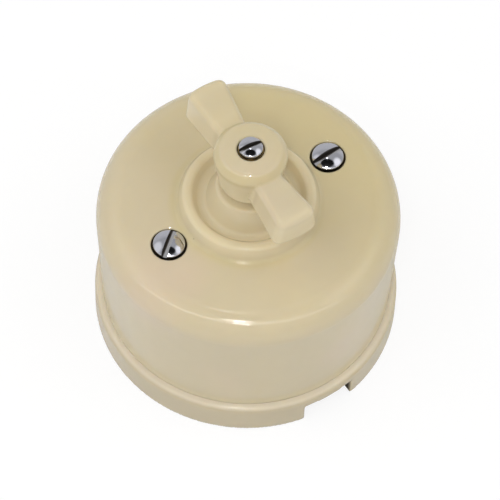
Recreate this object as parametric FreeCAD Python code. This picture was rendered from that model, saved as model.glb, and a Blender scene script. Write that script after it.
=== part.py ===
import FreeCAD, Part
import math
import os

Vector = FreeCAD.Vector

# Porcelain rotary switch, in millimetres. +Z points up from the wall or table, the origin is the centre of
# the base's back, the cover screws lie on the X axis and the cable comes in on the -Y side.

# Clearances
seat_gap = 0.02          # round a screw in its thread, or a pressed piece in its seat
screw_gap = 0.3          # round a screw in a plain hole
running_gap = 0.05       # round the spindle in its bearings
sliding_gap = 0.1        # between faces that turn past each other
free_gap = 0.3           # above or below a turning piece that has end play
overshoot = 1.0          # how far a shape runs past a face that it joins or cuts
touch = 1e-6             # two places this close are the same place

# Base
base_radius = 35.0
base_height = 8.8
base_edge_round = 1.4
base_foot_width = 4.0
base_foot_round = 0.3
base_relief = 0.8
rim_gap = 0.5
rim_width = 2.0
rim_height = 2.5
small_round = 0.4

# Pillars that take the cover screws
pillar_inset = 7.85
pillar_top = 24.0
pillar_wall = 1.8
insert_wall = 1.0
insert_length = 11.0

# Cable notch, and the holes for the wall screws
notch_width = 12.5
notch_height = 5.6       # the base's flange and rim go on over the notch
notch_past_rim = 7.0
well_wall = 1.2          # between the rim and the well that the cable turns up through
notch_corner_round = 1.5
wall_screw_inset = 7.7
wall_screw_angle = 58.0
wall_hole_radius = 2.25
wall_head_radius = 4.0
wall_head_depth = 3.0
wall_pad_width = 2.2     # of the pad round each wall hole, level with the foot

# Cover
flange_width = 1.8
cover_lean = 1.45
cover_head_room = 5.1
cover_shoulder_round = 6.3
cover_wall = 4.0
cover_inner_round = 3.2
cover_boss_wall = 3.5
cover_boss_drop = 3.0

# Collar round the spindle: a raised ring, a dish and a central boss
collar_foot_radius = 16.3
collar_crest_radius = 13.9
collar_crest_width = 1.8
collar_height = 3.2
collar_foot_round = 1.4
collar_crest_round = 1.3
dish_radius = 11.5
dish_height = 1.3
dish_round = 1.4
boss_foot_radius = 9.9
boss_foot_round = 1.0
boss_top_radius = 7.4
boss_height = 7.0
boss_round = 1.1
boss_bore_gap = 1.0

# Knob: a tapered hub with two wings
hub_clearance = 2.3
hub_low_radius = 6.85
hub_low_round = 0.8
hub_high_radius = 8.35
hub_shoulder_height = 10.3
hub_crown_radius = 6.9
hub_crown_rise = 1.7
hub_top_rise = 0.8
hub_round = 1.5
wing_reach = 20.6
wing_low_at_hub = 2.7
wing_low_at_end = 3.8
wing_high_at_hub = 10.0
wing_high_at_end = 11.8
wing_half_width_at_hub = 3.55
wing_half_width_at_end = 5.3
wing_draft = 0.135
wing_corner_round = 1.8
wing_top_round = 1.5
wing_low_round = 0.6
knob_rest_angle = -2.7

# Spindle
spindle_radius = 3.0
square_shoulder = 0.1
spindle_low = 5.1
spindle_flat = 2.1
drive_depth = 8.4
drive_end_gap = 0.2
groove_depth = 0.7

# Bearing boss on the base and the stack that turns above it
bearing_boss_radius = 7.0
bearing_boss_height = 3.2
washer_width = 2.9
washer_thickness = 0.5
rotor_radius = 9.0
rotor_height = 12.4
rotor_edge = 0.5
sleeve_thickness = 1.4
sleeve_low = 1.9
sleeve_band_height = 3.0
sleeve_lobe_height = 4.0
sleeve_lobe_angle = 66.0
wheel_half_flat = 6.0
wheel_lobe = 1.6
wheel_thickness = 3.0
clip_width = 2.5
clip_thickness = 0.6
clip_gap_width = 2.6

# Bridge over the mechanism, its bush and the leaf spring
bridge_clearance = 1.5
bridge_thickness = 1.5
bridge_width = 7.0
bridge_foot_length = 4.2
bridge_foot_hole = 1.9
bridge_eye_width = 2.6
bush_wall = 0.95
bush_flange_width = 1.0
bush_flange = 0.8
bush_stand = 2.0
spring_thickness = 0.4
spring_width = 11.0
spring_leg_clearance = 0.2
spring_bend = 0.8

# Contacts and terminals
way_one_angle = -147.0
way_two_angle = -57.0
common_angle = 123.0
leaf_thickness = 0.5
leaf_width = 3.5
leaf_reach = 3.5
leaf_return = 2.0
leaf_bend = 0.7
riser_clearance = 0.6
terminal_length = 7.2
terminal_width = 7.0
terminal_height = 8.0
terminal_edge = 0.4
wire_hole_radius = 1.6
wire_hole_height = 3.6
wire_hole_depth = 3.6
clamp_screw_inset = 2.1
clamp_screw_length = 5.0
clamp_screw_stand = 0.9
fixing_inset = 2.0
fixing_reach = 3.2

# Screws
m4_radius = 2.0
m4_head_radius = 3.6
m4_head_edge = 1.2
m4_head_dome = 1.1
m4_slot_width = 1.4
m4_slot_depth = 1.5
m4_hole_ring = 0.4
m4_head_sink = 0.8
m3_radius = 1.5
m3_head_radius = 2.7
m3_head_edge = 1.2
m3_head_dome = 0.8
m3_slot_width = 1.1
m3_slot_depth = 1.2
m3_hole_ring = 0.3
screw_point_share = 0.25
recess_round = 0.4
underside_pocket_ring = 0.7
underside_pocket_depth = 3.6
cover_screw_slots = (38.5, 1.5)
knob_screw_slot = -7.6
knob_washer_ring = 0.15
knob_washer_thickness = 0.4
knob_screw_sink = 1.35
knob_screw_length = 8.5

# Radii that follow from the sizes above, from the outside in
cover_foot_radius = base_radius - flange_width
cover_inner_foot = cover_foot_radius - cover_wall
rim_outer_radius = cover_inner_foot - rim_gap
rim_inner_radius = rim_outer_radius - rim_width
notch_inner_end = rim_inner_radius - notch_past_rim
wall_screw_radius = rim_inner_radius - wall_screw_inset
pillar_at = cover_inner_foot - pillar_inset
insert_radius = m4_radius + insert_wall
pillar_radius = insert_radius + pillar_wall
cover_boss_radius = m4_radius + screw_gap + cover_boss_wall
pocket_radius = m3_head_radius + underside_pocket_ring
wall_pad_radius = wall_hole_radius + wall_pad_width
contact_radius = rotor_radius + sliding_gap
leaf_riser = contact_radius + leaf_reach
terminal_inner = leaf_riser + riser_clearance
fixing_at = terminal_inner + fixing_inset
bridge_inner_half = rotor_radius + bridge_clearance
bridge_screw_at = bridge_inner_half + bridge_thickness + bridge_foot_hole
wheel_corner_radius = wheel_half_flat + wheel_lobe
spindle_square = 2 * (spindle_radius + square_shoulder)
boss_bore_radius = spindle_radius + boss_bore_gap
washer_radius = spindle_radius + sliding_gap + washer_width
clip_radius = spindle_radius - groove_depth + clip_width
bush_radius = spindle_radius + running_gap + bush_wall
bush_flange_radius = bush_radius + bush_flange_width
bridge_eye_radius = bush_radius + bridge_eye_width

# Heights that follow from the sizes above, from the base up
rim_top = base_height + rim_height
terminal_low = base_height + leaf_thickness
terminal_top = terminal_low + terminal_height
bearing_boss_top = base_height + bearing_boss_height
washer_top = bearing_boss_top + washer_thickness
rotor_low = washer_top + sliding_gap
band_middle = rotor_low + sleeve_low + sleeve_band_height / 2
lobe_middle = rotor_low + sleeve_low + sleeve_band_height + sleeve_lobe_height / 2
rotor_top = rotor_low + rotor_height
wheel_top = rotor_top + wheel_thickness
square_top = wheel_top + free_gap
bush_low = square_top + free_gap
spring_web_low = bush_low + bush_flange
bridge_low = spring_web_low + spring_thickness
bridge_top = bridge_low + bridge_thickness
bush_top = bridge_top + bush_stand
clip_low = bush_top + free_gap
clip_top = clip_low + clip_thickness
insert_low = pillar_top - insert_length
cover_inner_top = clip_top + cover_head_room
cover_top = cover_inner_top + cover_wall
screw_seat = cover_top - m4_head_sink
collar_crest = cover_top + collar_height
boss_top = cover_top + boss_height
hub_low = boss_top + hub_clearance
hub_shoulder = hub_low + hub_shoulder_height
hub_crown = hub_shoulder + hub_crown_rise
hub_top = hub_crown + hub_top_rise
knob_seat = hub_top - knob_screw_sink
spindle_top = hub_low + drive_depth - drive_end_gap


def disc(radius, low, high, x=0.0, y=0.0):
    """An upright round bar between two heights."""
    return Part.makeCylinder(radius, high - low, Vector(x, y, low))


def block(x_range, y_range, z_range):
    """A box between two values along each axis."""
    size = [pair[1] - pair[0] for pair in (x_range, y_range, z_range)]
    return Part.makeBox(size[0], size[1], size[2], Vector(x_range[0], y_range[0], z_range[0]))


def turn(shape, degrees):
    """A copy turned about the switch's own axis."""
    copy = shape.copy()
    copy.rotate(Vector(0, 0, 0), Vector(0, 0, 1), degrees)
    return copy


def move(shape, x, y, z=0.0):
    """A copy moved along the axes."""
    copy = shape.copy()
    copy.translate(Vector(x, y, z))
    return copy


def polar(radius, degrees):
    """The x and y of a point at a radius and an angle."""
    return radius * math.cos(math.radians(degrees)), radius * math.sin(math.radians(degrees))


def rounded_face(corners):
    """A face in the XZ plane from corners that are (x, z), or (x, z, radius) where they are rounded."""
    points = [Vector(corner[0], 0, corner[1]) for corner in corners]
    radii = [corner[2] if len(corner) > 2 else 0.0 for corner in corners]
    edges = []
    start = None
    last = None
    count = len(points)
    for index in range(count):
        corner = points[index]
        back = points[index - 1] - corner
        ahead = points[(index + 1) % count] - corner
        half = back.getAngle(ahead) / 2
        radius = radii[index]
        if radius > 0:
            back.normalize()
            ahead.normalize()
            run = radius / math.tan(half)
            entry = corner + back * run
            leave = corner + ahead * run
            middle = corner + (back + ahead).normalize() * (radius / math.sin(half) - radius)
        else:
            entry = leave = corner
        if last is not None and last.distanceToPoint(entry) > touch:
            edges.append(Part.LineSegment(last, entry).toShape())
        if radius > 0:
            edges.append(Part.Arc(entry, middle, leave).toShape())
        if start is None:
            start = entry
        last = leave
    edges.append(Part.LineSegment(last, start).toShape())
    return Part.Face(Part.Wire(edges))


def turned(corners):
    """A solid turned about the switch's axis from an outline of radii and heights."""
    return rounded_face(corners).revolve(Vector(0, 0, 0), Vector(0, 0, 1), 360)


def bent_strip(path, thickness, width, bend):
    """A strip bent along a path of (distance, height) points, with its thickness to the path's left."""
    points = [Vector(distance, 0, height) for distance, height in path]
    normals = []
    for first, second in zip(points, points[1:]):
        along = (second - first).normalize()
        normals.append(Vector(-along.z, 0, along.x))
    offset = [points[0] + normals[0] * thickness]
    for index in range(1, len(points) - 1):
        middle = (normals[index - 1] + normals[index]).normalize()
        offset.append(points[index] + middle * (thickness / middle.dot(normals[index])))
    offset.append(points[-1] + normals[-1] * thickness)
    last = len(points) - 1
    corners = []
    for index, point in enumerate(points + offset[::-1]):
        place = index if index <= last else 2 * last + 1 - index
        if place in (0, last):
            corners.append((point.x, point.z))
            continue
        before = points[place] - points[place - 1]
        after = points[place + 1] - points[place]
        turns_left = before.z * after.x - before.x * after.z < 0
        inside = (index > last) == turns_left
        corners.append((point.x, point.z, bend if inside else bend + thickness))
    face = rounded_face(corners)
    face.translate(Vector(0, -width / 2, 0))
    return face.extrude(Vector(0, width, 0))


def slotted_screw(radius, length, head_radius, edge, dome, slot_width, slot_depth, slot_angle):
    """A screw with a domed, slotted head. Its head rests on z = 0 and its shank goes down."""
    point = radius * screw_point_share
    top = edge + dome
    outline = [(0, -length), (radius - point, -length), (radius, point - length), (radius, 0),
               (head_radius, 0), (head_radius, edge)]
    corners = [Vector(x, 0, z) for x, z in outline]
    edges = [Part.LineSegment(a, b).toShape() for a, b in zip(corners, corners[1:])]
    ball = (head_radius ** 2 + dome ** 2) / (2 * dome)
    half = math.asin(head_radius / ball) / 2
    middle = Vector(ball * math.sin(half), 0, top - ball + ball * math.cos(half))
    crown = Vector(0, 0, top)
    edges.append(Part.Arc(corners[-1], middle, crown).toShape())
    edges.append(Part.LineSegment(crown, corners[0]).toShape())
    screw = Part.Face(Part.Wire(edges)).revolve(Vector(0, 0, 0), Vector(0, 0, 1), 360)
    end = head_radius + overshoot
    slot = block((-end, end), (-slot_width / 2, slot_width / 2), (top - slot_depth, top + overshoot))
    return screw.cut(turn(slot, slot_angle))


def m4_screw(length, slot_angle):
    """A cover screw."""
    return slotted_screw(m4_radius, length, m4_head_radius, m4_head_edge, m4_head_dome, m4_slot_width,
                         m4_slot_depth, slot_angle)


def m3_screw(length, slot_angle):
    """One of the small screws."""
    return slotted_screw(m3_radius, length, m3_head_radius, m3_head_edge, m3_head_dome, m3_slot_width,
                         m3_slot_depth, slot_angle)


def upward_screw(tip, x, y):
    """A small screw that goes up from a pocket in the base's underside to the height of its tip."""
    screw = m3_screw(tip - underside_pocket_depth, 0.0)
    screw.rotate(Vector(0, 0, 0), Vector(1, 0, 0), 180)
    return move(screw, x, y, underside_pocket_depth)


def screw_mouth(radius, top, x=0.0):
    """What opens the mouth of a screw's recess at a height, wider towards the top."""
    rise = recess_round + overshoot
    return Part.makeCone(radius, radius + rise, rise, Vector(x, 0, top - recess_round))


bridge_holes = {"front": (0.0, -bridge_screw_at), "back": (0.0, bridge_screw_at)}
terminal_angles = {"common": common_angle, "way_one": way_one_angle, "way_two": way_two_angle}
fixing_holes = {name: polar(fixing_at, angle) for name, angle in terminal_angles.items()}
wall_holes = [polar(wall_screw_radius, wall_screw_angle + half) for half in (0, 180)]


def make_base():
    """The porcelain base: flange, locating rim, pillars, bearing boss, holes and cable notch."""
    base = turned([
        (0, base_relief),
        (base_radius - base_foot_width, base_relief, base_foot_round),
        (base_radius - base_foot_width, 0, base_foot_round),
        (base_radius, 0, base_foot_round),
        (base_radius, base_height, base_edge_round),
        (rim_outer_radius, base_height, small_round),
        (rim_outer_radius, rim_top, small_round),
        (rim_inner_radius, rim_top, small_round),
        (rim_inner_radius, base_height, small_round),
        (0, base_height),
    ])
    inside = base_height - overshoot
    above = base_height + overshoot
    base = base.fuse(disc(bearing_boss_radius, inside, bearing_boss_top))
    cuts = [disc(spindle_radius + running_gap, spindle_low - free_gap, bearing_boss_top + overshoot)]
    for x in (-pillar_at, pillar_at):
        pillar = disc(pillar_radius, inside, pillar_top, x)
        base = base.fuse(pillar.makeFillet(small_round, [pillar.Edges[0]]))
        cuts.append(disc(insert_radius, insert_low, pillar_top + overshoot, x))
    for x, y in list(bridge_holes.values()) + list(fixing_holes.values()):
        cuts.append(disc(m3_radius + screw_gap, 0, above, x, y))
        cuts.append(disc(pocket_radius, -overshoot, underside_pocket_depth, x, y))
    for x, y in wall_holes:
        base = base.fuse(disc(wall_pad_radius, 0, inside, x, y))
        cuts.append(disc(wall_hole_radius, -overshoot, above, x, y))
        cuts.append(disc(wall_head_radius, base_height - wall_head_depth, above, x, y))
    half = notch_width / 2
    notch = block((-half, half), (-base_radius - overshoot, -notch_inner_end), (-overshoot, notch_height))
    well = block((-half, half), (well_wall - rim_inner_radius, -notch_inner_end), (-overshoot, above))

    def inner_corner(edge):
        upright = edge.BoundBox.ZLength > edge.Length / 2
        return upright and abs(edge.CenterOfMass.y + notch_inner_end) < touch

    for room in (notch, well):
        cuts.append(room.makeFillet(notch_corner_round, [edge for edge in room.Edges if inner_corner(edge)]))
    return base.cut(cuts).removeSplitter()


def make_cover():
    """The porcelain cover: wall, shoulder, top, collar, dish and boss."""
    outer_top = cover_foot_radius + cover_lean
    dish = cover_top + dish_height
    cover = turned([
        (cover_inner_foot, base_height, small_round),
        (cover_foot_radius, base_height, small_round),
        (outer_top, cover_top, cover_shoulder_round),
        (collar_foot_radius, cover_top, collar_foot_round),
        (collar_crest_radius + collar_crest_width / 2, collar_crest, collar_crest_round),
        (collar_crest_radius - collar_crest_width / 2, collar_crest, collar_crest_round),
        (dish_radius, dish, dish_round),
        (boss_foot_radius, dish, boss_foot_round),
        (boss_top_radius, boss_top, boss_round),
        (boss_bore_radius, boss_top, small_round),
        (boss_bore_radius, cover_inner_top, small_round),
        (outer_top - cover_wall, cover_inner_top, cover_inner_round),
    ])
    recess_radius = m4_head_radius + m4_hole_ring
    boss_low = cover_inner_top - cover_boss_drop
    for x in (-pillar_at, pillar_at):
        cover = cover.fuse(disc(cover_boss_radius, boss_low, cover_inner_top + overshoot, x))
    for x in (-pillar_at, pillar_at):
        cover = cover.cut([
            disc(recess_radius, screw_seat, collar_crest + overshoot, x),
            screw_mouth(recess_radius, cover_top, x),
            disc(m4_radius + screw_gap, boss_low - overshoot, cover_top, x),
        ])
    return cover.removeSplitter()


def wing_share(distance):
    """How far along the wing a distance from the axis is, from 0 at the hub to 1 at the end."""
    return (distance - hub_low_radius) / (wing_reach - hub_low_radius)


def wing_half_width(distance, height):
    """Half the wing's width at a distance from the axis and a height above the hub's lower end."""
    widening = wing_share(distance) * (wing_half_width_at_end - wing_half_width_at_hub)
    middle = (wing_low_at_hub + wing_high_at_end) / 2
    return wing_half_width_at_hub + widening - (height - middle) * wing_draft


def wing_height(distance, at_hub, at_end):
    """The height of the wing's upper or lower side at a distance from the axis."""
    return hub_low + at_hub + wing_share(distance) * (at_end - at_hub)


def make_wing():
    """One wing of the knob, pointing along -Y."""
    inner = hub_low_radius / 2
    outer = wing_reach + overshoot
    layers = []
    for height in (0.0, wing_high_at_end + overshoot):
        corners = []
        for distance, side in ((inner, -1), (outer, -1), (outer, 1), (inner, 1)):
            corners.append(Vector(side * wing_half_width(distance, height), -distance, hub_low + height))
        layers.append(Part.makePolygon(corners + corners[:1]))
    wing = Part.makeLoft(layers, True, True)
    side_view = [
        Vector(0, -inner, wing_height(inner, wing_low_at_hub, wing_low_at_end)),
        Vector(0, -outer, wing_height(outer, wing_low_at_hub, wing_low_at_end)),
        Vector(0, -outer, wing_height(outer, wing_high_at_hub, wing_high_at_end)),
        Vector(0, -inner, wing_height(inner, wing_high_at_hub, wing_high_at_end)),
    ]
    slab = Part.Face(Part.makePolygon(side_view + side_view[:1]))
    slab.translate(Vector(-outer, 0, 0))
    wing = wing.common(slab.extrude(Vector(2 * outer, 0, 0)))
    wing = wing.common(disc(wing_reach, hub_low, hub_low + wing_high_at_end + overshoot))

    def level(edge):
        return edge.BoundBox.ZLength < edge.Length / 2

    def end_corner(edge):
        at_end = [abs(math.hypot(vertex.X, vertex.Y) - wing_reach) < touch for vertex in edge.Vertexes]
        return all(at_end) and not level(edge)

    def at_hub(edge):
        return all(abs(vertex.Y + inner) < touch for vertex in edge.Vertexes)

    wing = wing.makeFillet(wing_corner_round, [edge for edge in wing.Edges if end_corner(edge)])
    split = hub_low + (wing_high_at_hub + wing_low_at_end) / 2
    rims = [edge for edge in wing.Edges if level(edge) and not at_hub(edge)]
    wing = wing.makeFillet(wing_top_round, [edge for edge in rims if edge.CenterOfMass.z > split])
    rims = [edge for edge in wing.Edges if level(edge) and not at_hub(edge)]
    return wing.makeFillet(wing_low_round, [edge for edge in rims if edge.CenterOfMass.z < split])


def flatted_bar(radius, flat, low, high):
    """A round bar with a flat on each side, square to X."""
    return disc(radius, low, high).common(block((-flat, flat), (-radius, radius), (low, high)))


def make_knob():
    """The porcelain knob, with its drive hole and the recess for its screw."""
    hub = turned([
        (0, hub_low),
        (hub_low_radius, hub_low, hub_low_round),
        (hub_high_radius, hub_shoulder, hub_round),
        (hub_crown_radius, hub_crown, hub_round),
        (0, hub_top),
    ])
    wing = make_wing()
    knob = hub.fuse([wing, turn(wing, 180)])
    recess_radius = m3_head_radius + m3_hole_ring
    mouth_height = hub_top - hub_top_rise * recess_radius / hub_crown_radius
    knob = knob.cut([
        flatted_bar(spindle_radius + running_gap, spindle_flat + running_gap, hub_low - overshoot,
                    hub_low + drive_depth),
        disc(m3_radius + screw_gap, hub_low, hub_top),
        disc(recess_radius, knob_seat, hub_top + overshoot),
        screw_mouth(recess_radius, mouth_height),
    ])
    return turn(knob.removeSplitter(), knob_rest_angle)


def square_bar(across, low, high):
    """A square bar on the axis."""
    return block((-across / 2, across / 2), (-across / 2, across / 2), (low, high))


def make_spindle():
    """The spindle, with journals, square, groove and flatted end."""
    flats_low = hub_low - free_gap
    spindle = disc(spindle_radius, spindle_low, flats_low)
    spindle = spindle.fuse(square_bar(spindle_square, rotor_low, square_top))
    spindle = spindle.fuse(flatted_bar(spindle_radius, spindle_flat, flats_low, spindle_top))
    groove_low = clip_low - seat_gap
    groove_top = clip_top + seat_gap
    groove = disc(spindle_radius + overshoot, groove_low, groove_top)
    groove = groove.cut(disc(spindle_radius - groove_depth, groove_low, groove_top))
    thread_low = knob_seat + knob_washer_thickness - knob_screw_length - free_gap
    thread = disc(m3_radius + seat_gap, thread_low, spindle_top + overshoot)
    return turn(spindle.cut([groove, thread]).removeSplitter(), knob_rest_angle)


def sleeve_shape(gap):
    """The contact sleeve: a full band with two opposite lobes, thinned inside by a gap."""
    inner = rotor_radius - sleeve_thickness + gap
    low = rotor_low + sleeve_low
    band_top = low + sleeve_band_height
    lobe_top = band_top + sleeve_lobe_height
    band = disc(rotor_radius, low, band_top).cut(disc(inner, low, band_top))
    lobes = []
    for half in (0, 180):
        lobe = Part.makeCylinder(rotor_radius, sleeve_lobe_height, Vector(0, 0, band_top), Vector(0, 0, 1),
                                 sleeve_lobe_angle)
        lobe = lobe.cut(disc(inner, band_top, lobe_top))
        lobes.append(turn(lobe, way_one_angle - sleeve_lobe_angle / 2 + half))
    return band.fuse(lobes).removeSplitter()


def make_rotor():
    """The insulating drum, with the pocket for the contact sleeve."""
    drum = disc(rotor_radius, rotor_low, rotor_top)
    drum = drum.makeChamfer(rotor_edge, [edge for edge in drum.Edges if edge.BoundBox.ZLength < touch])
    square = square_bar(spindle_square + 2 * seat_gap, rotor_low - overshoot, rotor_top + overshoot)
    return drum.cut([sleeve_shape(0.0), turn(square, knob_rest_angle)])


def make_index_wheel():
    """The square wheel with rounded corners that the spring rides on."""
    wheel = disc(wheel_corner_radius, rotor_top, wheel_top)
    wheel = wheel.common(square_bar(2 * wheel_half_flat, rotor_top, wheel_top))
    square = square_bar(spindle_square + 2 * seat_gap, rotor_top - overshoot, wheel_top + overshoot)
    return wheel.cut(turn(square, knob_rest_angle))


def make_clip():
    """The open clip in the spindle's groove."""
    half = clip_gap_width / 2
    mouth = block((-half, half), (0, clip_radius + overshoot), (clip_low - overshoot, clip_top + overshoot))
    bore = disc(spindle_radius - groove_depth + seat_gap, clip_low, clip_top)
    return disc(clip_radius, clip_low, clip_top).cut([bore, mouth])


def make_washer(inner, outer, low, thickness):
    """A flat washer."""
    return disc(outer, low, low + thickness).cut(disc(inner, low, low + thickness))


def make_bridge():
    """The steel strap that stands over the rotor on two feet."""
    foot = bridge_inner_half + bridge_thickness + bridge_foot_length
    path = [(-foot, base_height), (-bridge_inner_half, base_height), (-bridge_inner_half, bridge_low),
            (bridge_inner_half, bridge_low), (bridge_inner_half, base_height), (foot, base_height)]
    bridge = bent_strip(path, bridge_thickness, bridge_width, small_round)
    bridge = turn(bridge, 90).fuse(disc(bridge_eye_radius, bridge_low, bridge_top)).removeSplitter()
    cuts = [disc(bush_radius + seat_gap, bridge_low - overshoot, bridge_top + overshoot)]
    foot_top = base_height + bridge_thickness
    for x, y in bridge_holes.values():
        cuts.append(disc(m3_radius + seat_gap, base_height - overshoot, foot_top + overshoot, x, y))
    return bridge.cut(cuts)


def make_bush():
    """The brass bush that carries the spindle in the bridge."""
    bush = disc(bush_radius, bush_low, bush_top).fuse(disc(bush_flange_radius, bush_low, spring_web_low))
    return bush.cut(disc(spindle_radius + running_gap, bush_low, bush_top)).removeSplitter()


def make_index_spring():
    """The bow spring, with a web clamped under the bridge and a leg on each side of the index wheel."""
    near = wheel_half_flat + sliding_gap
    leg_end = rotor_top + spring_leg_clearance
    path = [(-near, leg_end), (-near, spring_web_low), (near, spring_web_low), (near, leg_end)]
    spring = bent_strip(path, spring_thickness, spring_width, spring_bend)
    return spring.cut(disc(bush_radius + seat_gap, spring_web_low - overshoot, bridge_low + overshoot))


def make_contact(angle, height):
    """A leaf contact: a wide foot under its terminal, a riser and a tip bent at a right angle at the drum."""
    foot_end = terminal_inner + terminal_length
    tip = contact_radius + leaf_thickness - leaf_bend * (math.sqrt(2) - 1)
    slope_low = height - (leaf_riser - tip)
    path = [(foot_end, terminal_low), (leaf_riser, terminal_low), (leaf_riser, slope_low), (tip, height),
            (tip + leaf_return, height + leaf_return)]
    strip = bent_strip(path, leaf_thickness, terminal_width, leaf_bend)
    wide = terminal_width / 2
    narrow = leaf_width / 2
    foot = block((terminal_inner, foot_end), (-wide, wide), (base_height, terminal_low))
    leaf = block((0, terminal_inner), (-narrow, narrow), (base_height, height + 2 * leaf_return))
    hole = disc(m3_radius + screw_gap, base_height - overshoot, terminal_low + overshoot, fixing_at)
    return turn(strip.common(foot.fuse(leaf)).cut(hole), angle)


def make_terminal(angle):
    """A brass wire clamp on its contact's foot."""
    outer = terminal_inner + terminal_length
    half = terminal_width / 2
    wire_height = terminal_low + wire_hole_height
    body = block((terminal_inner, outer), (-half, half), (terminal_low, terminal_top))
    body = body.makeChamfer(terminal_edge, body.Edges)
    wire_end = Vector(outer - wire_hole_depth, 0, wire_height)
    wire = Part.makeCylinder(wire_hole_radius, wire_hole_depth + overshoot, wire_end, Vector(1, 0, 0))
    clamp = disc(m3_radius + seat_gap, wire_height, terminal_top + overshoot, outer - clamp_screw_inset)
    fixing_top = terminal_low + fixing_reach + free_gap
    fixing = disc(m3_radius + seat_gap, terminal_low - overshoot, fixing_top, fixing_at)
    return turn(body.cut([wire, clamp, fixing]), angle)


def make_pieces():
    """Every piece of the switch, by name."""
    pieces = {"base": make_base(), "cover": make_cover()}
    cover_screw_length = screw_seat - insert_low - free_gap
    for name, side, slot in zip(("left", "right"), (-1, 1), cover_screw_slots):
        x = side * pillar_at
        pieces["cover_screw_" + name] = move(m4_screw(cover_screw_length, slot), x, 0, screw_seat)
        insert = disc(insert_radius - seat_gap, insert_low, pillar_top, x)
        pieces["cover_insert_" + name] = insert.cut(disc(m4_radius + seat_gap, insert_low, pillar_top, x))

    pieces["knob"] = make_knob()
    pieces["knob_washer"] = make_washer(m3_radius + seat_gap, m3_head_radius + knob_washer_ring, knob_seat,
                                        knob_washer_thickness)
    knob_screw = m3_screw(knob_screw_length, knob_screw_slot)
    pieces["knob_screw"] = move(knob_screw, 0, 0, knob_seat + knob_washer_thickness)
    pieces["spindle"] = make_spindle()
    pieces["rotor"] = make_rotor()
    pieces["rotor_contact"] = sleeve_shape(seat_gap)
    pieces["index_wheel"] = make_index_wheel()
    pieces["retaining_clip"] = make_clip()

    pieces["thrust_washer"] = make_washer(spindle_radius + sliding_gap, washer_radius, bearing_boss_top,
                                          washer_thickness)
    pieces["bearing_bridge"] = make_bridge()
    bridge_screw_tip = base_height + bridge_thickness + free_gap
    for name, (x, y) in bridge_holes.items():
        pieces["bridge_screw_" + name] = upward_screw(bridge_screw_tip, x, y)
    pieces["spindle_bush"] = make_bush()
    pieces["index_spring"] = make_index_spring()

    tip_heights = {"common": band_middle, "way_one": lobe_middle, "way_two": lobe_middle}
    clamp_seat = terminal_top + clamp_screw_stand
    for name, angle in terminal_angles.items():
        pieces["contact_" + name] = make_contact(angle, tip_heights[name])
        pieces["terminal_" + name] = make_terminal(angle)
        x, y = polar(terminal_inner + terminal_length - clamp_screw_inset, angle)
        pieces["terminal_screw_" + name] = move(m3_screw(clamp_screw_length, angle), x, y, clamp_seat)
        x, y = fixing_holes[name]
        pieces["fixing_screw_" + name] = upward_screw(terminal_low + fixing_reach, x, y)
    return pieces


def main():
    os.makedirs("parts", exist_ok=True)
    for name, shape in make_pieces().items():
        if not shape.isValid() or len(shape.Solids) != 1:
            print("check", name, "valid", shape.isValid(), "solids", len(shape.Solids))
        solid = shape.Solids[0]
        solid.exportStep("parts/" + name + ".step")
        print(name, round(solid.Volume, 1))


main()
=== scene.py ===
import math
import bmesh
import bpy
from mathutils import Matrix, Vector


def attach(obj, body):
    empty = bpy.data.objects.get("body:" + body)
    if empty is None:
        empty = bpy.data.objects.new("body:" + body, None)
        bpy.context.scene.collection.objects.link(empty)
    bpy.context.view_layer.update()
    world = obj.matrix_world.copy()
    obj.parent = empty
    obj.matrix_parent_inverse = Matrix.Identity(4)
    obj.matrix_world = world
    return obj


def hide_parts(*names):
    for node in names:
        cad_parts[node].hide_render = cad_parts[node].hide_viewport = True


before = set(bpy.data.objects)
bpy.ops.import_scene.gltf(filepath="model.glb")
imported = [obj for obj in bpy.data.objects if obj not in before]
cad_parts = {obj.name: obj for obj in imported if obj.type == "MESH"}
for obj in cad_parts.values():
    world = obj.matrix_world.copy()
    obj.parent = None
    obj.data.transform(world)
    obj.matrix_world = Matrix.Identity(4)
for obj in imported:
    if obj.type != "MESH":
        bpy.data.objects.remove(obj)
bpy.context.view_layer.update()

# Porcelain rotary switch. Its sizes are in millimetres, and a mesh is scaled to metres when it is done.
# The cover is turned from its own outline, the screws are grown by a Geometry Nodes tree, the base and the
# knob get glazed, melted edges, and the works inside keep their CAD shapes under new finishes.

to_metres = 0.001
to_millimetres = 1000.0
seam_merge = 0.0005
doubles_merge = 0.0002

# Heights of the porcelain
notch_height = 5.6
joint_height = 8.8
joint_overlap = 0.02
cover_inner_top = 39.3
screw_seat = 42.5
cover_top = 43.3
dish_height = 44.6
collar_crest = 46.5
boss_top = 50.3
hub_top = 65.4

# Radii of the porcelain, and the notch's half width
base_radius = 35.0
notch_half_width = 6.25
cover_inner_foot = 29.2
cover_foot_radius = 33.2
shoulder_radius = 34.65
cover_wall = 4.0
collar_foot_radius = 16.3
collar_outer_crest = 14.8
collar_inner_crest = 13.0
dish_radius = 11.5
boss_foot_radius = 9.9
boss_radius = 7.4
spindle_hole_radius = 4.0
recess_radius = 4.0
knob_recess_radius = 3.0

# Where the screws stand: from the axis, and their seats above the foot
pillar_at = 21.35
clamp_at = 18.3
fixing_at = 15.2
bridge_screw_at = 13.9
pocket_floor = 3.6
clamp_seat = 18.2
knob_screw_seat = 64.45
terminal_angles = {"common": 123.0, "way_one": -147.0, "way_two": -57.0}

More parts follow.
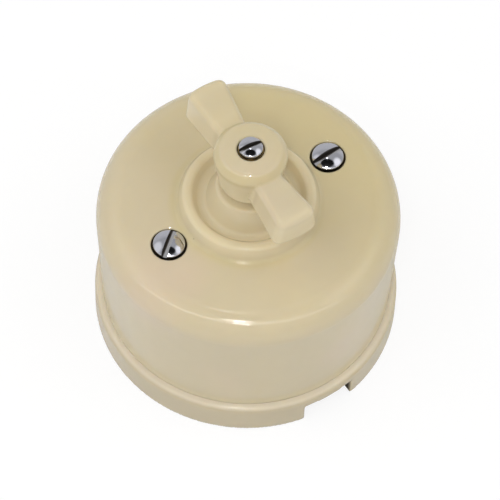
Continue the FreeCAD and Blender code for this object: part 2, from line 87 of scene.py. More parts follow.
# Screws: M4 for the cover, M3 for the rest. Thread, core and head are radii, edge and dome are the head's
# heights, slot is the slot's width and cut its depth.
m4 = {
    "thread": 2.0, "core": 1.62, "pitch": 0.7, "head": 3.6, "edge": 1.2, "dome": 1.1, "slot": 1.4,
    "cut": 1.5}
m3 = {
    "thread": 1.5, "core": 1.2, "pitch": 0.5, "head": 2.7, "edge": 1.2, "dome": 0.8, "slot": 1.1,
    "cut": 1.2}
cover_screw_length = 29.2
knob_screw_length = 8.5
clamp_screw_length = 5.0
fixing_screw_length = 8.9
bridge_screw_length = 7.0


class Wire:
    """A node's socket. Sums are written on it as on a number, and each adds a Math node to its tree."""

    def __init__(self, socket):
        self.socket = socket

    def calculate(self, operation, *values):
        """A Math node in this socket's tree."""
        tree = Tree(self.socket.id_data)
        return tree.node("ShaderNodeMath", {"operation": operation}, dict(enumerate(values)))

    def math(self, operation, *others):
        """A Math node whose first value is this socket."""
        return self.calculate(operation, self, *others)

    def other(self, output):
        """Another output of the same node."""
        return Wire(self.socket.node.outputs[output])

    def __add__(self, value):
        return self.math("ADD", value)

    __radd__ = __add__

    def __sub__(self, value):
        return self.math("SUBTRACT", value)

    def __rsub__(self, value):
        return self.calculate("SUBTRACT", value, self)

    def __mul__(self, value):
        return self.math("MULTIPLY", value)

    __rmul__ = __mul__

    def __truediv__(self, value):
        return self.math("DIVIDE", value)

    def __rtruediv__(self, value):
        return self.calculate("DIVIDE", value, self)

    def __mod__(self, value):
        return self.math("FLOORED_MODULO", value)

    def __abs__(self):
        return self.math("ABSOLUTE")

    def __floor__(self):
        return self.math("FLOOR")


class Tree:
    """A node tree, and the one way in which nodes are added to it."""

    def __init__(self, tree):
        self.tree = tree

    def node(self, kind, settings=None, values=None, output=0):
        """Adds a node with its settings, and gives each socket a value, a wire or a list of wires."""
        made = self.tree.nodes.new(kind)
        for name, setting in (settings or {}).items():
            setattr(made, name, setting)
        for name, value in (values or {}).items():
            if isinstance(value, Wire):
                value = [value]
            if isinstance(value, list):
                for wire in value:
                    self.tree.links.new(wire.socket, made.inputs[name])
            else:
                made.inputs[name].default_value = value
        return Wire(made.outputs[output]) if made.outputs else None


def vector(net, x, y, z):
    return net.node("ShaderNodeCombineXYZ", {}, {0: x, 1: y, 2: z})


def distance(x, y):
    """How far a point lies from where x and y are zero."""
    squared = x * x + y * y
    return squared.math("SQRT")


def new_geometry_tree(name, inputs):
    """An empty Geometry Nodes tree with named inputs. Returns it with the inputs' identifiers by name."""
    group = bpy.data.node_groups.new(name, "GeometryNodeTree")
    keys = {}
    for label, kind in inputs.items():
        socket = group.interface.new_socket(name=label, in_out="INPUT", socket_type="NodeSocket" + kind)
        keys[label] = socket.identifier
    group.interface.new_socket(name="Geometry", in_out="OUTPUT", socket_type="NodeSocketGeometry")
    return group, keys


def end_geometry_tree(net, shape, finish):
    """Smooth shading, real geometry and the finish, which end each tree here."""
    shape = net.node("GeometryNodeSetShadeSmooth", {}, {"Geometry": shape, "Shade Smooth": True})
    shape = net.node("GeometryNodeRealizeInstances", {}, {"Geometry": shape})
    shape = net.node("GeometryNodeSetMaterial", {}, {"Geometry": shape, "Material": finish})
    net.node("NodeGroupOutput", {}, {"Geometry": shape})


def grid_to_wrap(net, steps, rows):
    """A flat grid of steps by rows. Returns it with the step and the row of each of its points."""
    grid = net.node("GeometryNodeMeshGrid", {}, {"Vertices X": steps + 1, "Vertices Y": rows})
    index = net.node("GeometryNodeInputIndex")
    step = math.floor(index / rows)
    return grid, step, index - step * rows


def wrap_grid(net, grid, radius, angle, height):
    """Moves a grid's points to their radius, angle and height round the Z axis, and merges its seam."""
    around = vector(net, radius * angle.math("COSINE"), radius * angle.math("SINE"), height)
    wrapped = net.node("GeometryNodeSetPosition", {}, {"Geometry": grid, "Position": around})
    return net.node("GeometryNodeMergeByDistance", {}, {"Geometry": wrapped, "Distance": seam_merge})


def make_turned_tree():
    """The tree that rounds an outline of radii (x) and heights (z) and turns it round the Z axis."""
    group, keys = new_geometry_tree("turned_piece", {
        "Outline": "Geometry", "Steps": "Int", "Corner Steps": "Int", "Closed": "Int",
        "Finish": "Material"})
    net = Tree(group)
    given = net.node("NodeGroupInput")
    line = net.node("GeometryNodeMeshToCurve", {}, {"Mesh": given.other("Outline")})
    rounding = net.node(
        "GeometryNodeInputNamedAttribute", {"data_type": "FLOAT"}, {"Name": "corner_round"})
    rounded = net.node("GeometryNodeFilletCurve", {"mode": "POLY"}, {
        "Curve": line, "Count": given.other("Corner Steps"), "Radius": rounding})
    points = net.node(
        "GeometryNodeAttributeDomainSize", {"component": "CURVE"}, {"Geometry": rounded}, "Point Count")
    steps = given.other("Steps")
    grid, step, row = grid_to_wrap(net, steps, points + given.other("Closed"))
    corner = net.node("GeometryNodeSampleIndex", {"data_type": "FLOAT_VECTOR", "domain": "POINT"}, {
        "Geometry": rounded, "Value": net.node("GeometryNodeInputPosition"), "Index": row % points})
    radius = net.node("ShaderNodeSeparateXYZ", {}, {0: corner})
    shell = wrap_grid(net, grid, radius, step * (2 * math.pi) / steps, radius.other("Z"))
    end_geometry_tree(net, shell, given.other("Finish"))
    return group, keys


def slotted_head(net, given, turned_tree):
    """A screw's head, turned from its outline and slotted, with the slot's rim marked for the bevel."""
    bar_length = 20.0
    bar_height = 6.0
    head = net.node("GeometryNodeGroup", {"node_tree": turned_tree}, {
        "Outline": given.other("Head Outline"), "Steps": given.other("Steps"),
        "Corner Steps": given.other("Corner Steps")})
    bar_size = vector(net, bar_length, given.other("Slot Width"), bar_height)
    bar_middle = given.other("Crown") - given.other("Slot Depth") + bar_height / 2
    bar = net.node("GeometryNodeTransform", {}, {
        "Geometry": net.node("GeometryNodeMeshCube", {}, {"Size": bar_size}),
        "Translation": vector(net, 0.0, 0.0, bar_middle),
        "Rotation": vector(net, 0.0, 0.0, given.other("Slot Angle"))})
    head = net.node(
        "GeometryNodeMeshBoolean", {"operation": "DIFFERENCE", "solver": "EXACT"}, {0: head, 1: bar})
    return net.node("GeometryNodeStoreNamedAttribute", {"data_type": "FLOAT", "domain": "EDGE"}, {
        "Geometry": head, "Name": "bevel_weight_edge", "Value": head.other("Intersecting Edges")})


def threaded_shank(net, given):
    """A screw's shank, which starts inside the head, wound with a thread and drawn in at its point."""
    steps = 28
    rows_a_turn = 6
    shank_top = 0.2
    point_turns = 1.2
    point_share = 0.7
    length = given.other("Length")
    pitch = given.other("Pitch")
    core = given.other("Core Radius")
    turns = length / pitch
    rows = turns.math("CEIL") * rows_a_turn + 2 * rows_a_turn
    grid, step, row = grid_to_wrap(net, steps, rows)
    ridge = 1 - abs((row / rows_a_turn) % 1 * 2 - 1)
    end = row.math("LESS_THAN", 0.5) + row.math("GREATER_THAN", rows - 1.5)
    height = row * (-1.0 / rows_a_turn) * pitch + pitch * (1 + step / steps)
    height = height.math("MINIMUM", shank_top).math("MAXIMUM", length * -1)
    near_point = (length + height) / (pitch * point_turns)
    taper = near_point.math("MINIMUM", 1.0) * (1 - point_share) + point_share
    radius = (core + ridge * (given.other("Thread Radius") - core)) * taper * (1 - end)
    return wrap_grid(net, grid, radius, step * (2 * math.pi / steps), height)


def mark_places(net, given, screw):
    """Stores on a screw what its finish reads: each point's place from the axis, slot and seat."""
    position = net.node("GeometryNodeInputPosition")
    spot = net.node("ShaderNodeSeparateXYZ", {}, {0: position})
    turned_back = net.node("ShaderNodeVectorRotate", {"rotation_type": "Z_AXIS"}, {
        "Vector": position, "Angle": given.other("Slot Angle") * -1})
    across = net.node("ShaderNodeSeparateXYZ", {}, {0: turned_back}, "Y")
    marks = {
        "from_axis": distance(spot, spot.other("Y")) / given.other("Head Radius"),
        "across_slot": across / (given.other("Slot Width") * 0.5),
        "above_seat": spot.other("Z"),
    }
    for name, value in marks.items():
        screw = net.node("GeometryNodeStoreNamedAttribute", {"data_type": "FLOAT", "domain": "POINT"}, {
            "Geometry": screw, "Name": name, "Value": value})
    return screw


def make_screw_tree(turned_tree):
    """The tree of a slotted screw: its head on the seat, and its threaded shank below."""
    group, keys = new_geometry_tree("slotted_screw", {
        "Head Outline": "Geometry", "Steps": "Int", "Corner Steps": "Int", "Crown": "Float",
        "Slot Width": "Float", "Slot Depth": "Float", "Slot Angle": "Float", "Thread Radius": "Float",
        "Core Radius": "Float", "Pitch": "Float", "Length": "Float", "Turned Over": "Float",
        "Head Radius": "Float", "Place": "Vector", "Finish": "Material"})
    net = Tree(group)
    given = net.node("NodeGroupInput")
    parts = [threaded_shank(net, given), slotted_head(net, given, turned_tree)]
    screw = mark_places(net, given, net.node("GeometryNodeJoinGeometry", {}, {0: parts}))
    screw = net.node("GeometryNodeTransform", {}, {
        "Geometry": screw, "Translation": given.other("Place"),
        "Rotation": vector(net, given.other("Turned Over"), 0.0, 0.0)})
    end_geometry_tree(net, screw, given.other("Finish"))
    return group, keys


def add_object(name, data):
    made = bpy.data.objects.new(name, data)
    bpy.context.scene.collection.objects.link(made)
    return made


def settle(piece):
    """Turns what a piece's modifiers make into its plain mesh."""
    graph = bpy.context.evaluated_depsgraph_get()
    graph.update()
    shaped = piece.evaluated_get(graph)
    mesh = bpy.data.meshes.new_from_object(shaped, preserve_all_data_layers=True, depsgraph=graph)
    piece.modifiers.clear()
    piece.data = mesh


def face_outwards(piece):
    """Merges a closed piece's doubles and points its faces outwards."""
    work = bmesh.new()
    work.from_mesh(piece.data)
    bmesh.ops.remove_doubles(work, verts=work.verts, dist=doubles_merge)
    bmesh.ops.recalc_face_normals(work, faces=work.faces)
    work.to_mesh(piece.data)
    work.free()


def outline_mesh(name, corners, closed):
    """A line through corners of (radius, height), or (radius, height, round) where they are rounded."""
    mesh = bpy.data.meshes.new(name)
    edges = [(index, index + 1) for index in range(len(corners) - 1)]
    if closed:
        edges.append((len(corners) - 1, 0))
    mesh.from_pydata([(corner[0], 0, corner[1]) for corner in corners], edges, [])
    rounds = mesh.attributes.new("corner_round", "FLOAT", "POINT")
    for index, corner in enumerate(corners):
        rounds.data[index].value = corner[2] if len(corner) > 2 else 0.0
    return mesh


def grow(name, mesh, tree, sizes):
    """An object whose mesh is grown by a Geometry Nodes tree from a starting mesh and named sizes."""
    group, keys = tree
    piece = add_object(name, mesh)
    modifier = piece.modifiers.new("grow", "NODES")
    modifier.node_group = group
    for label, size in sizes.items():
        modifier[keys[label]] = size
    return piece


def turn_outline(name, corners, finish, closed=False, steps=256, corner_steps=14):
    """A piece turned round the switch's axis."""
    piece = grow(name, outline_mesh(name, corners, closed), turned_tree, {
        "Steps": steps, "Corner Steps": corner_steps, "Closed": int(closed), "Finish": finish})
    settle(piece)
    face_outwards(piece)
    return piece


def combine(piece, operation, tool, along_x):
    """Adds a tool's shape to a piece or takes it away, at a distance along X, and removes the tool."""
    tool.data.transform(Matrix.Translation((along_x, 0, 0)))
    modifier = piece.modifiers.new("combine", "BOOLEAN")
    modifier.operation = operation
    modifier.solver = "EXACT"
    modifier.object = tool
    settle(piece)
    bpy.data.objects.remove(tool)


def place_in_frame(piece):
    """Scales a mesh made in millimetres to the frame's metres."""
    piece.data.transform(Matrix.Scale(to_metres, 4))


def shade_and_place(piece, sharp_angle=40):
    """Smooth shading, broken only at corners sharper than an angle in degrees, and then the frame's size."""
    piece.data.shade_smooth()
    piece.data.set_sharp_from_angle(angle=math.radians(sharp_angle))
    weigh = piece.modifiers.new("weigh", "WEIGHTED_NORMAL")
    weigh.keep_sharp = True
    settle(piece)
    place_in_frame(piece)


# Finishes

def start_finish(name, roughness, metallic=0.0, **sockets):
    """A material with one Principled shader. Returns its tree and the shader, with its constants set."""
    finish = bpy.data.materials.new(name)
    finish.use_nodes = True
    net = Tree(finish.node_tree)
    shader = finish.node_tree.nodes["Principled BSDF"]
    shader.inputs["Roughness"].default_value = roughness
    shader.inputs["Metallic"].default_value = metallic
    for label, value in sockets.items():
        shader.inputs[label.replace("_", " ")].default_value = value
    return finish, net, shader


def feed(net, shader, label, wire):
    net.tree.links.new(wire.socket, shader.inputs[label])


def blend(net, share, first, second, how="MIX"):
    """Two colours mixed by a share from 0 to 1."""
    mixing = {"data_type": "RGBA", "blend_type": how}
    return net.node("ShaderNodeMix", mixing, {0: share, 6: first, 7: second}, 2)


def noise(net, place, scale, detail, distortion=0.0):
    """Cloudy noise on a place, with a scale in cells a metre."""
    return net.node("ShaderNodeTexNoise", {}, {
        "Vector": place, "Scale": scale, "Detail": detail, "Distortion": distortion})


def ramp_up(net, value, low, high):
    """A smooth step from 0 at low to 1 at high."""
    return net.node("ShaderNodeMapRange", {"interpolation_type": "SMOOTHSTEP"}, {
        "Value": value, "From Min": low, "From Max": high, "To Min": 0.0, "To Max": 1.0})


def object_place(net):
    return net.node("ShaderNodeTexCoord", {}, {}, "Object")


def stored(net, name):
    """A number that a screw's tree has stored on its mesh."""
    return net.node("ShaderNodeAttribute", {"attribute_name": name}, {}, "Fac")


def bump(net, height, strength, depth, under=None):
    """A bump of a depth in metres, laid over another where one is given."""
    values = {"Height": height, "Strength": strength, "Distance": depth}
    if under is not None:
        values["Normal"] = under
    return net.node("ShaderNodeBump", {}, values)


ivory = (0.625, 0.535, 0.36, 1.0)
# Yellower ivory: glaze pooling and painted shade in the hollows, and painted shade towards +X
ivory_pooled_and_shaded = (0.61, 0.51, 0.245, 1.0)
# Paler ivory: thin glaze on edges, and painted light
ivory_thin_and_lit = (0.73, 0.63, 0.42, 1.0)
ivory_blush = (0.67, 0.545, 0.40, 1.0)
# Paler, pinker ivory: painted light on the base's ledge
ledge_painted_light = (0.78, 0.69, 0.53, 1.0)
bisque = (0.64, 0.58, 0.48, 1.0)
iron_speck = (0.22, 0.14, 0.07, 1.0)
# Near-black painted shade, for gaps, recesses and a screw's shaded side
painted_shade_colour = (0.04, 0.028, 0.016, 1.0)
# Near-white painted highlight for the inside of a screw's slot
painted_slot_highlight = (0.97, 0.97, 1.0, 1.0)
moulding_dark = (0.045, 0.018, 0.008, 1.0)
moulding_light = (0.115, 0.05, 0.022, 1.0)


def make_glaze(name, hollows, edges, dark, bare_below=0.0, depth=0.95, thin_and_lit=ivory_thin_and_lit,
               dull_from=0.72, dull_to=1.0):
    """Ivory glaze. It is yellower in the hollows, from pooling and painted shade, and paler on the edges,
    from thin glaze and painted light, both given as functions of radius and height, and takes painted shade
    where dark says. Below a height the porcelain is bare. Where the surface is seen aslant, from one share
    to another, the gloss fades."""
    finish, net, shader = start_finish(
        name, 0.22, Coat_Roughness=0.1, Coat_IOR=1.5, Specular_IOR_Level=0.05,
        Subsurface_Weight=0.3, Subsurface_Scale=0.003, Subsurface_Radius=(1.0, 0.75, 0.45))
    place = object_place(net)
    axes = net.node("ShaderNodeSeparateXYZ", {}, {0: place})
    height = axes.other("Z") * to_millimetres
    radius = distance(axes, axes.other("Y")) * to_millimetres
    cloud = noise(net, place, 45.0, 2.0)
    mottle = noise(net, place, 260.0, 3.0)

    # The glaze is pinker in patches. Painted shade makes it yellower towards +X, painted shade and pooling
    # make it yellower in the hollows, and painted light and thin glaze make it paler on the edges
    blush = ramp_up(net, noise(net, place, 33.0, 1.0), 0.48, 0.72) * 0.7
    colour = blend(net, blush, ivory, ivory_blush)
    # Painted shade: darker and yellower towards +X
    painted_side_shade = ramp_up(net, axes + axes.other("Y") * 0.3 + (cloud - 0.5) * 0.03, -0.016, 0.034) * 0.6
    # Painted shade with some glaze pooling in the hollows
    pooled_and_shaded = hollows(net, radius, height).math("MAXIMUM", painted_side_shade) if hollows else painted_side_shade
    colour = blend(net, pooled_and_shaded, colour, ivory_pooled_and_shaded)
    # Painted light with some thin glaze on the edges
    colour = blend(net, edges(net, radius, height), colour, thin_and_lit)
    shade = depth + cloud * 0.10 + mottle * 0.04
    tint = net.node("ShaderNodeCombineColor", {}, {0: shade, 1: shade, 2: shade - (cloud - 0.5) * 0.08})
    colour = blend(net, 1.0, colour, tint, "MULTIPLY")

    # A few small specks in it
    speck = net.node("ShaderNodeTexVoronoi", {"feature": "F1"}, {
        "Vector": place, "Scale": 210.0, "Randomness": 1.0})
    rare = ramp_up(net, noise(net, place, 95.0, 0.0), 0.66, 0.72)
    colour = blend(net, (1 - ramp_up(net, speck, 0.02, 0.06)) * rare * 0.35, colour, iron_speck)

    # Bare porcelain at the foot, painted shade in the gaps, and the gloss that is left
    bare = 1 - ramp_up(net, height + (mottle - 0.5) * 0.2, bare_below - 0.1, bare_below + 0.1)
    painted_shade = dark(net, axes, height)
    aslant = net.node("ShaderNodeLayerWeight", {}, {"Blend": 0.5}, "Facing")
    dulled = ramp_up(net, aslant, dull_from, dull_to) * 0.9
    feed(net, shader, "Base Color", blend(net, painted_shade, blend(net, bare, colour, bisque), painted_shade_colour))
    feed(net, shader, "Coat Weight", (1 - bare) * (1 - painted_shade) * (1 - dulled))
    feed(net, shader, "Roughness", 0.2 + mottle * 0.06 + bare * 0.5 + painted_shade * 0.4)

    # Long waves from the glaze's pull, and a fine skin over them
    pull = bump(net, noise(net, place, 55.0, 1.0), 0.35, 0.00035)
    feed(net, shader, "Normal", bump(net, noise(net, place, 520.0, 2.0), 0.12, 0.00003, pull))
    return finish


def recess_painted_shade(net, axes, height):
    """Painted shade in the gap round each cover screw's head."""
    out = distance(abs(axes) * to_millimetres - pillar_at, axes.other("Y") * to_millimetres)
    near = 1 - ramp_up(net, out, recess_radius + 0.05, recess_radius + 0.3)
    above = ramp_up(net, height, cover_top - 0.45, cover_top - 0.1)
    return near * (1 - above) * ramp_up(net, height, 38.0, 39.0)


def notch_painted_shade(net, axes, height):
    """Painted shade on the sides of the cable notch, inside its mouth."""
    y = axes.other("Y") * to_millimetres
    inside = 1 - ramp_up(net, abs(axes) * to_millimetres, notch_half_width + 0.05, notch_half_width + 0.25)
    past_mouth = ramp_up(net, y, 0.3 - base_radius, 1.8 - base_radius) * (1 - ramp_up(net, y, -20.0, -19.0))
    return inside * past_mouth * (1 - ramp_up(net, height, notch_height + 0.1, notch_height + 0.6)) * 0.93


def knob_recess_painted_shade(net, axes, height):
    """Painted shade in the gap round the knob screw's head."""
    out = distance(axes, axes.other("Y")) * to_millimetres
    near = 1 - ramp_up(net, out, knob_recess_radius - 0.05, knob_recess_radius + 0.15)
    above = ramp_up(net, height, hub_top - 0.5, hub_top - 0.2)
    return near * (1 - above) * ramp_up(net, height, 60.0, 61.0)


def cover_hollow_shade(net, radius, height):
    """Painted shade with some glaze pooling: a little at the collar's foot and down the wall."""
    on_top = ramp_up(net, height, 42.0, 43.0)
    collar_foot = ramp_up(net, radius, 15.2, 16.4) * (1 - ramp_up(net, radius, 16.8, 19.0)) * on_top
    return collar_foot * 0.4 + (1 - ramp_up(net, height, 30.0, 38.0)) * 0.08


def cover_edges_painted_light(net, radius, height):
    """Painted light, with some thin glaze on the rounded edges: the shoulder, the whole collar, less so its
    dish and boss, and the wall's foot.
    """
    shoulder = ramp_up(net, radius, 28.0, 31.5) * ramp_up(net, height, 36.0, 40.0) * 0.15
    collar = (1 - ramp_up(net, radius, 15.0, 16.6)) * (ramp_up(net, radius, 10.5, 12.5) * 0.6 + 0.4)
    foot = 1 - ramp_up(net, height, 9.3, 11.5)
    return shoulder + collar * ramp_up(net, height, 42.0, 43.0) * 0.8 + foot * 0.6


def base_ledge_painted_light(net, radius, height):
    """Painted light on the ledge round the cover's foot."""
    return ramp_up(net, radius, 31.0, 33.0) * ramp_up(net, height, 7.8, 8.6)


def knob_hollow_shade(net, radius, height):
    """Painted shade with some glaze pooling, where the wings meet the hub."""
    return ramp_up(net, radius, 6.6, 7.4) * (1 - ramp_up(net, radius, 8.2, 9.2)) * 0.45


def knob_edges_painted_light(net, radius, height):
    """Painted light on the wings' ends and sides, and on the hub below its shoulder."""
    wing_ends = ramp_up(net, radius, 15.0, 20.2) * 0.4
    wing_sides = (1 - ramp_up(net, height, 61.0, 64.0)) * ramp_up(net, radius, 9.0, 11.0) * 0.6
    low_hub = (1 - ramp_up(net, height, 60.0, 63.0)) * (1 - ramp_up(net, radius, 8.4, 9.5))
    return wing_ends + wing_sides + low_hub


def make_plate(name, colour, dull, roughness, marks=True):
    """A plated or bare metal. On a screw the marks run round its axis; painted shade sits on one side of its
    slot and low round its edge, and a painted highlight lightens the rest of the slot."""
    finish, net, shader = start_finish(name, roughness, 1.0)
    place = object_place(net)
    cloud = noise(net, place, 320.0, 3.0)
    grain = noise(net, place, 2400.0, 2.0)
    shade = blend(net, cloud, colour, dull)
    rough = roughness + (cloud - 0.5) * 0.08
    height = grain
    if marks:
        from_axis = stored(net, "from_axis")
        across = stored(net, "across_slot")
        above = stored(net, "above_seat")
        rings = net.node("ShaderNodeTexNoise", {"noise_dimensions": "1D"}, {
            "W": from_axis, "Scale": 22.0, "Detail": 2.0})
        height = rings * 0.8 + grain * 0.2
        in_slot = (1 - ramp_up(net, abs(across), 1.005, 1.05)) * ramp_up(net, above, 0.4, 0.6)
        # Painted shade: one half of the slot and the low part of the head's side go near black
        shaded_slot_half = ramp_up(net, across, 0.1, 0.45) * in_slot
        rim = ramp_up(net, from_axis, 0.95, 0.99) * (1 - ramp_up(net, above, 0.6, 0.9))
        painted_shade = rim.math("MAXIMUM", shaded_slot_half)
        # Painted highlight: the slot's inside is lightened to near white
        shade = blend(net, in_slot, shade, painted_slot_highlight)
        shade = blend(net, painted_shade * 0.93, shade, painted_shade_colour)
        rough = rough + painted_shade * 0.3
    feed(net, shader, "Base Color", shade)
    feed(net, shader, "Roughness", rough)
    feed(net, shader, "Normal", bump(net, height, 0.5, 0.000002 if marks else 0.000008))
    return finish


def make_moulding(name):
    """Dark brown moulded insulation with a faint marbling."""
    finish, net, shader = start_finish(name, 0.42)
    place = object_place(net)
    marbling = ramp_up(net, noise(net, place, 180.0, 4.0, distortion=1.5), 0.35, 0.7)
    grain = noise(net, place, 1600.0, 2.0)
    feed(net, shader, "Base Color", blend(net, marbling, moulding_dark, moulding_light))
    feed(net, shader, "Roughness", 0.34 + grain * 0.2)
    feed(net, shader, "Normal", bump(net, grain, 0.2, 0.00004))
    return finish


turned_tree = make_turned_tree()
screw_tree = make_screw_tree(turned_tree[0])

cover_glaze = make_glaze(
    "ivory_glaze_cover", cover_hollow_shade, cover_edges_painted_light, recess_painted_shade, bare_below=joint_height - 0.05)
base_glaze = make_glaze(
    "ivory_glaze_base", None, base_ledge_painted_light, notch_painted_shade, bare_below=0.35, depth=0.86, thin_and_lit=ledge_painted_light)
knob_glaze = make_glaze(
    "ivory_glaze_knob", knob_hollow_shade, knob_edges_painted_light, knob_recess_painted_shade, dull_from=0.62, dull_to=0.95)
nickel = make_plate("nickel_plate", (0.76, 0.77, 0.84, 1), (0.60, 0.61, 0.68, 1), 0.08)
zinc = make_plate("zinc_steel", (0.60, 0.61, 0.62, 1), (0.46, 0.47, 0.48, 1), 0.34)
bright = make_plate("bright_steel", (0.56, 0.55, 0.54, 1), (0.44, 0.43, 0.42, 1), 0.24, marks=False)
brass = make_plate("brass", (0.72, 0.52, 0.22, 1), (0.60, 0.41, 0.16, 1), 0.28, marks=False)
bronze = make_plate("spring_bronze", (0.66, 0.40, 0.22, 1), (0.52, 0.30, 0.16, 1), 0.30, marks=False)
moulding = make_moulding("brown_moulding")


def make_cover():
    """The cover, turned from its outline. Its screw recesses open with a glazed lip."""
    foot = joint_height - joint_overlap
    piece = turn_outline("glazed_cover", [
        (cover_inner_foot, foot, 0.2),
        (cover_foot_radius, foot, 0.03),
        (shoulder_radius, cover_top, 6.3),
        (collar_foot_radius, cover_top, 1.4),
        (collar_outer_crest, collar_crest, 1.3),
        (collar_inner_crest, collar_crest, 1.3),
        (dish_radius, dish_height, 1.4),
        (boss_foot_radius, dish_height, 1.0),
        (boss_radius, boss_top, 1.1),
        (spindle_hole_radius, boss_top, 0.4),
        (spindle_hole_radius, cover_inner_top, 0.4),
        (shoulder_radius - cover_wall, cover_inner_top, 3.2),
    ], cover_glaze, closed=True)
    screw_boss_low = cover_inner_top - 3.0
    screw_boss_radius = 5.8
    screw_hole_radius = 2.3
    inside_top = cover_inner_top + 1
    lip_low = cover_top - 0.1
    lip_radius = 4.75
    lip_high = lip_low + (lip_radius - recess_radius) * math.tan(math.radians(15))
    clear_above = 52
    for x in (-pillar_at, pillar_at):
        boss = turn_outline("screw_boss", [
            (0, screw_boss_low), (screw_boss_radius, screw_boss_low, 0.5), (screw_boss_radius, inside_top),
            (0, inside_top),
        ], cover_glaze, steps=64, corner_steps=4)
        combine(piece, "UNION", boss, x)
        recess = turn_outline("screw_recess", [
            (0, screw_boss_low - 1), (screw_hole_radius, screw_boss_low - 1),
            (screw_hole_radius, screw_seat, 0.15), (recess_radius, screw_seat, 0.25),
            (recess_radius, lip_low, 0.5), (lip_radius, lip_high), (lip_radius, clear_above),
            (0, clear_above),
        ], cover_glaze, steps=96, corner_steps=6)
        combine(piece, "DIFFERENCE", recess, x)
    shade_and_place(piece)
    return piece


def melt(node, finish, grain, passes):
    """A copy of a CAD piece with its corners melted, as glaze does, on a grid of a grain in millimetres."""
    piece = add_object("glazed_" + node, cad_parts[node].data.copy())
    piece.data.transform(Matrix.Scale(to_millimetres, 4))
    face_outwards(piece)
    remesh = piece.modifiers.new("remesh", "REMESH")
    remesh.mode = "VOXEL"
    remesh.voxel_size = grain
    remesh.use_smooth_shade = True
    soften = piece.modifiers.new("soften", "SMOOTH")
    soften.factor = 0.5
    soften.iterations = passes
    settle(piece)
    place_in_frame(piece)
    piece.data.materials.clear()
    piece.data.materials.append(finish)
    return piece


def make_screw(node, size, length, place, finish, slot_angle=0.0, turned_over=False):
    """One slotted screw, whose head rests on its place."""
    head = size["head"]
    dome = size["dome"]
    crown = size["edge"] + dome
    ball = (head ** 2 + dome ** 2) / (2 * dome)
    half = math.asin(head / ball)
    dome_steps = 10
    corners = [(0, 0), (head, 0, 0.12), (head, size["edge"], 0.3)]
    for share in range(dome_steps - 1, -1, -1):
        lean = half * share / dome_steps
        corners.append((ball * math.sin(lean), crown - ball + ball * math.cos(lean)))
    piece = grow("screw_" + node, outline_mesh("head_outline", corners, False), screw_tree, {
        "Steps": 96, "Corner Steps": 5, "Crown": crown, "Slot Width": size["slot"],
        "Slot Depth": size["cut"], "Slot Angle": math.radians(slot_angle),
        "Thread Radius": size["thread"], "Core Radius": size["core"], "Pitch": size["pitch"],
        "Length": length, "Turned Over": math.pi if turned_over else 0.0, "Head Radius": head,
        "Place": place, "Finish": finish})
    bevel = piece.modifiers.new("slot_rim", "BEVEL")
    bevel.limit_method = "WEIGHT"
    bevel.width = 0.07
    bevel.segments = 2
    settle(piece)
    face_outwards(piece)
    shade_and_place(piece)
    return piece


def polar(radius, degrees):
    return radius * math.cos(math.radians(degrees)), radius * math.sin(math.radians(degrees))


def stand_for(piece, node, body):
    """Puts a piece in a CAD node's place."""
    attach(piece, body)
    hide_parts(node)


stand_for(make_cover(), "cover", "switch_body")
stand_for(melt("base", base_glaze, grain=0.42, passes=5), "base", "switch_body")
stand_for(melt("knob", knob_glaze, grain=0.17, passes=22), "knob", "knob_shaft")

cover_screws = (("cover_screw_left", -pillar_at, 38.5), ("cover_screw_right", pillar_at, 1.5))
for node, x, slot_angle in cover_screws:
    screw = make_screw(node, m4, cover_screw_length, (x, 0, screw_seat), nickel, slot_angle)
    stand_for(screw, node, "switch_body")
knob_screw = make_screw("knob_screw", m3, knob_screw_length, (0, 0, knob_screw_seat), nickel, -7.6)
stand_for(knob_screw, "knob_screw", "knob_shaft")
for name, angle in terminal_angles.items():
    x, y = polar(clamp_at, angle)
    clamp = make_screw("terminal_screw_" + name, m3, clamp_screw_length, (x, y, clamp_seat), zinc, angle)
    stand_for(clamp, "terminal_screw_" + name, "switch_body")
    x, y = polar(fixing_at, angle)
    fixing = make_screw(
        "fixing_screw_" + name, m3, fixing_screw_length, (x, y, pocket_floor), zinc, turned_over=True)
    stand_for(fixing, "fixing_screw_" + name, "switch_body")
for name, y in (("front", -bridge_screw_at), ("back", bridge_screw_at)):
    screw = make_screw(
        "bridge_screw_" + name, m3, bridge_screw_length, (0, y, pocket_floor), zinc, turned_over=True)
    stand_for(screw, "bridge_screw_" + name, "switch_body")

# The works inside keep their CAD shapes
works = [
    (brass, ["cover_insert_left", "cover_insert_right", "rotor_contact", "spindle_bush", "thrust_washer",
             "knob_washer", "terminal_common", "terminal_way_one", "terminal_way_two"]),
    (bronze, ["contact_common", "contact_way_one", "contact_way_two"]),
    (zinc, ["bearing_bridge"]),
    (bright, ["spindle", "index_spring", "retaining_clip"]),
    (moulding, ["rotor", "index_wheel"]),
]
for finish, nodes in works:
    for node in nodes:
        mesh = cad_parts[node].data
        mesh.materials.clear()
        mesh.materials.append(finish)

# The photograph's angle: 35 degrees to the left of the cable notch, 59 degrees up and rolled 2.2 degrees.
# Lamps and the light tent are placed from the same azimuth.
camera_azimuth = -35.3
camera_elevation = 59.054
camera_roll = math.radians(2.2)
camera_distance = 916.6
look_at = Vector((0.548, -0.388, 21.6))


def direction(turned, raised):
    """A direction from its angle round the camera's own, positive to the right, and its height above the
    horizon, in degrees. Returns it with the directions to its right and above it."""
    turn = math.radians(camera_azimuth) + math.radians(turned)
    rise = math.radians(raised)
    towards = Vector((math.sin(turn) * math.cos(rise), -math.cos(turn) * math.cos(rise), math.sin(rise)))
    side = Vector((math.cos(turn), math.sin(turn), 0))
    return towards, side, towards.cross(side)


def aim(thing, middle, right, above, back):
    """Puts a camera or lamp in its place, with its right, its top and its back to these directions."""
    thing.matrix_world = Matrix.Translation(middle) @ Matrix((right, above, back)).transposed().to_4x4()


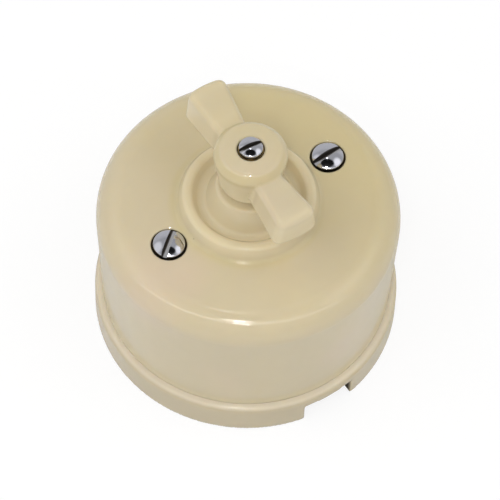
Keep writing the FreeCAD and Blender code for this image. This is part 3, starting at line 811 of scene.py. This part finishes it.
def make_camera():
    back, level, upward = direction(0, camera_elevation)
    right = math.cos(camera_roll) * level + math.sin(camera_roll) * upward
    above = math.cos(camera_roll) * upward - math.sin(camera_roll) * level
    data = bpy.data.cameras.new("camera")
    data.lens = 288.0
    data.sensor_width = 36.0
    data.clip_start = 0.05
    data.clip_end = 20.0
    camera = add_object("camera", data)
    bpy.context.scene.camera = camera
    aim(camera, (look_at + camera_distance * back) * to_metres, right, above, back)


def make_world():
    """A white light tent round the switch, with brighter and darker parts for the gloss to show."""
    world = bpy.data.worlds.new("light_tent")
    bpy.context.scene.world = world
    world.use_nodes = True
    net = Tree(world.node_tree)
    world.node_tree.nodes.clear()
    ray = net.node("ShaderNodeTexCoord", {}, {}, "Generated")

    def along(axis):
        return net.node("ShaderNodeVectorMath", {"operation": "DOT_PRODUCT"}, {0: ray, 1: axis}, "Value")

    def patch(turned, raised, half_wide, half_high, soft):
        """An oval part of the tent, 1 inside and 0 outside, from its place and half sizes in degrees."""
        towards, side, rise = direction(turned, raised)
        wide = along(side) / math.sin(math.radians(half_wide))
        high = along(rise) / math.sin(math.radians(half_high))
        facing = along(towards).math("GREATER_THAN", 0.0)
        return (1 - ramp_up(net, wide * wide + high * high, 1 - soft, 1 + soft)) * facing

    walls = 0.42
    low_band_behind = patch(180, 14, 80, 24, 0.7) * 0.15
    left_panel = patch(-100, 44, 22, 17, 0.7) * 0.4
    right_panel = patch(90, 50, 17, 15, 0.8) * 0.7
    bright_band = patch(-4, 57, 76, 2.6, 0.7) * 3.0
    dark_panel_above = patch(0, 80, 27, 17, 0.25) * 0.98
    spark = patch(-168, 80, 3.0, 3.0, 0.3) * 4.0
    light = low_band_behind + walls + left_panel + right_panel + bright_band
    light = light * (1 - dark_panel_above) + spark
    seen = net.node("ShaderNodeLightPath", {}, {}, "Is Camera Ray")
    strength = light * (1 - seen) + seen
    shader = net.node("ShaderNodeBackground", {}, {"Color": (1, 0.995, 0.985, 1), "Strength": strength})
    net.node("ShaderNodeOutputWorld", {}, {"Surface": shader})


def make_floor():
    """A white floor that takes the object's shadow."""
    bpy.ops.mesh.primitive_plane_add(size=6.0, location=(0, 0, 0))
    floor = bpy.context.active_object
    floor.name = "floor"
    finish = bpy.data.materials.new("white_floor")
    finish.use_nodes = True
    net = Tree(finish.node_tree)
    finish.node_tree.nodes.clear()
    paper = net.node("ShaderNodeBsdfDiffuse", {}, {"Color": (0.8, 0.8, 0.8, 1)})
    white = net.node("ShaderNodeEmission", {}, {"Color": (1, 1, 1, 1), "Strength": 1.06})
    seen = net.node("ShaderNodeLightPath", {}, {}, "Is Camera Ray")
    mirrored = seen.other("Is Glossy Ray").math("MAXIMUM", seen.other("Is Transmission Ray"))
    shader = net.node("ShaderNodeMixShader", {}, {0: seen * 0.8 + mirrored * 0.1, 1: paper, 2: white})
    net.node("ShaderNodeOutputMaterial", {}, {"Surface": shader})
    floor.data.materials.append(finish)


def make_lamp(name, turned, raised, wide, high, power, shows):
    """A soft lamp, its size in metres, turned to the switch. It shows in reflections only where asked."""
    lamp_distance = 1.1
    switch_middle = Vector((0, 0, 0.03))
    towards, side, rise = direction(turned, raised)
    data = bpy.data.lights.new(name, "AREA")
    data.shape = "RECTANGLE"
    data.size = wide
    data.size_y = high
    data.energy = power
    lamp = add_object(name, data)
    aim(lamp, switch_middle + lamp_distance * towards, side, rise, towards)
    lamp.visible_camera = False
    lamp.visible_glossy = shows


make_camera()
make_world()
make_floor()
make_lamp("fill_left", -72, 56, wide=0.8, high=0.7, power=2.4, shows=False)
make_lamp("fill_right", 82, 62, wide=0.8, high=0.7, power=1.8, shows=False)
make_lamp("fill_front", -25, 40, wide=0.7, high=0.6, power=0.3, shows=False)
make_lamp("upper_strip", -5.0, 63.0, wide=0.18, high=0.008, power=1.5, shows=True)
make_lamp("lower_strip", -3.0, 52.5, wide=0.16, high=0.008, power=0.8, shows=True)
bpy.context.scene.view_settings.view_transform = "Standard"
